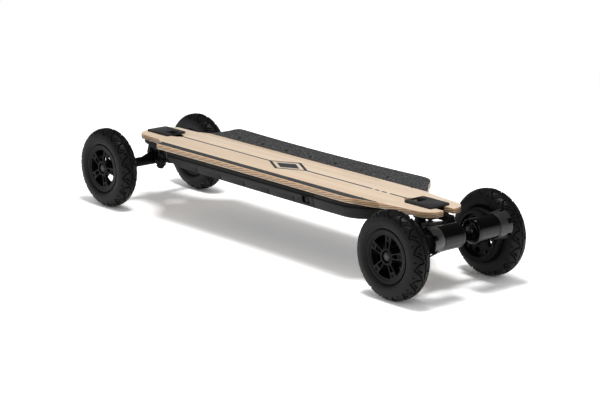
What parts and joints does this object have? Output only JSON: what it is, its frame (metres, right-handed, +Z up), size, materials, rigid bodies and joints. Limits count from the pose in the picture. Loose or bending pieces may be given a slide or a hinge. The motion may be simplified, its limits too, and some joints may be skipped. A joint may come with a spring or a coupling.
{
  "type": "electric mountainboard",
  "caption": "Long bamboo riding deck on tilting trucks with air-filled tyres, with a battery and electronics box below and toothed belts from motors to the rear wheels.",
  "frame": {"origin": "on the floor under the middle of the board, midway between the axles and between the wheels", "axes": "+X towards the tail, +Y towards the rider's right when facing the nose, +Z up"},
  "size_m": [1.1038, 0.3116, 0.1778],
  "materials": {
    "bamboo": "clear satin lacquer over straight-grained bamboo",
    "grip": "coarse black grit sheet",
    "enclosure_plastic": "fine moulded texture",
    "seal_rubber": "soft foam",
    "screw_steel": "black oxide",
    "cell_wrap": "shrink wrap",
    "circuit_board": "solder mask",
    "controller_alloy": "anodised",
    "socket_plastic": "moulded",
    "button_plastic": "moulded, slightly domed",
    "truck_black": "satin black anodise",
    "kingpin_steel": "zinc plated",
    "bushing_urethane": "cast urethane",
    "axle_steel": "ground steel",
    "nut_steel": "zinc plated",
    "tyre_rubber": "matt rubber, dusty on the tread",
    "rim_black": "satin black powder coat",
    "bearing_steel": "polished",
    "pulley_black": "black anodise",
    "belt_rubber": "ribbed rubber",
    "mount_black": "satin black anodise",
    "motor_black": "satin black paint",
    "rotor_steel": "turned"
  },
  "bodies": {
    "board": {"deck": "bamboo", "grip_tape": "grip", "battery_enclosure": "enclosure_plastic", "electronics_enclosure": "enclosure_plastic", "enclosure_seal": "seal_rubber", "enclosure_screws": "screw_steel", "battery_cells": "cell_wrap", "battery_board": "circuit_board", "motor_controller": "controller_alloy", "charging_socket": "socket_plastic", "top_plates": "truck_black", "truck_bases": "truck_black", "base_bolts": "screw_steel", "base_kingpins": "kingpin_steel", "front_base_bushings": "bushing_urethane", "rear_base_bushings": "bushing_urethane"},
    "power_button": {"power_button": "button_plastic"},
    "front_link": {"front_link": "truck_black", "front_hanger_kingpin": "kingpin_steel", "front_hanger_bushings": "bushing_urethane"},
    "front_hanger": {"front_hanger": "truck_black", "front_axle": "axle_steel", "front_axle_nuts": "nut_steel"},
    "rear_link": {"rear_link": "truck_black", "rear_hanger_kingpin": "kingpin_steel", "rear_hanger_bushings": "bushing_urethane"},
    "rear_hanger": {"rear_hanger": "truck_black", "rear_axle": "axle_steel", "rear_axle_nuts": "nut_steel", "left_belt": "belt_rubber", "right_belt": "belt_rubber", "left_motor_mount": "mount_black", "right_motor_mount": "mount_black", "left_motor_case": "motor_black", "right_motor_case": "motor_black", "motor_screws": "screw_steel"},
    "front_left_wheel": {"front_left_tyre": "tyre_rubber", "front_left_rim_outer": "rim_black", "front_left_rim_inner": "rim_black", "front_left_hub_bolts": "screw_steel", "front_left_bearings": "bearing_steel"},
    "front_right_wheel": {"front_right_tyre": "tyre_rubber", "front_right_rim_outer": "rim_black", "front_right_rim_inner": "rim_black", "front_right_hub_bolts": "screw_steel", "front_right_bearings": "bearing_steel"},
    "rear_left_wheel": {"rear_left_tyre": "tyre_rubber", "rear_left_rim_outer": "rim_black", "rear_left_rim_inner": "rim_black", "rear_left_hub_bolts": "screw_steel", "rear_left_bearings": "bearing_steel", "left_wheel_pulley": "pulley_black"},
    "rear_right_wheel": {"rear_right_tyre": "tyre_rubber", "rear_right_rim_outer": "rim_black", "rear_right_rim_inner": "rim_black", "rear_right_hub_bolts": "screw_steel", "rear_right_bearings": "bearing_steel", "right_wheel_pulley": "pulley_black"},
    "left_motor_rotor": {"left_motor_rotor": "rotor_steel"},
    "right_motor_rotor": {"right_motor_rotor": "rotor_steel"}
  },
  "joints": [
    {"name": "front_link_tilt", "type": "hinge", "parent": "board", "child": "front_link", "pos_m": [-0.401, 0, 0.116], "axis": [-0.9848, 0, 0.1736], "range_deg": [-10, 10], "stiffness_Nm_per_rad": 120, "deforming": ["front_base_bushings"]},
    {"name": "front_hanger_tilt", "type": "hinge", "parent": "front_link", "child": "front_hanger", "pos_m": [-0.434, 0, 0.097], "axis": [-0.9397, 0, 0.342], "range_deg": [-10, 10], "stiffness_Nm_per_rad": 120, "deforming": ["front_hanger_bushings"]},
    {"name": "rear_link_tilt", "type": "hinge", "parent": "board", "child": "rear_link", "pos_m": [0.401, 0, 0.116], "axis": [0.9848, 0, 0.1736], "range_deg": [-10, 10], "stiffness_Nm_per_rad": 120, "deforming": ["rear_base_bushings"]},
    {"name": "rear_hanger_tilt", "type": "hinge", "parent": "rear_link", "child": "rear_hanger", "pos_m": [0.434, 0, 0.097], "axis": [0.9397, 0, 0.342], "range_deg": [-10, 10], "stiffness_Nm_per_rad": 120, "deforming": ["rear_hanger_bushings"]},
    {"name": "front_left_wheel_spin", "type": "hinge", "parent": "front_hanger", "child": "front_left_wheel", "pos_m": [-0.463, 0, 0.089], "axis": [0, 1, 0], "continuous": true},
    {"name": "front_right_wheel_spin", "type": "hinge", "parent": "front_hanger", "child": "front_right_wheel", "pos_m": [-0.463, 0, 0.089], "axis": [0, 1, 0], "continuous": true},
    {"name": "rear_left_wheel_spin", "type": "hinge", "parent": "rear_hanger", "child": "rear_left_wheel", "pos_m": [0.463, 0, 0.089], "axis": [0, 1, 0], "continuous": true, "deforming": ["left_belt"]},
    {"name": "rear_right_wheel_spin", "type": "hinge", "parent": "rear_hanger", "child": "rear_right_wheel", "pos_m": [0.463, 0, 0.089], "axis": [0, 1, 0], "continuous": true, "deforming": ["right_belt"]},
    {"name": "left_motor_spin", "type": "hinge", "parent": "rear_hanger", "child": "left_motor_rotor", "pos_m": [0.51997, 0, 0.12189], "axis": [0, 1, 0], "continuous": true, "deforming": ["left_belt"]},
    {"name": "right_motor_spin", "type": "hinge", "parent": "rear_hanger", "child": "right_motor_rotor", "pos_m": [0.51997, 0, 0.12189], "axis": [0, 1, 0], "continuous": true, "deforming": ["right_belt"]},
    {"name": "power_button_press", "type": "slide", "parent": "board", "child": "power_button", "axis": [0, 1, 0], "range_m": [0, 0.0015], "stiffness_N_per_m": 1500}
  ],
  "couplings": [
    {"joint": "left_motor_spin", "follows": "rear_left_wheel_spin", "ratio": 4.4},
    {"joint": "right_motor_spin", "follows": "rear_right_wheel_spin", "ratio": 4.4}
  ]
}
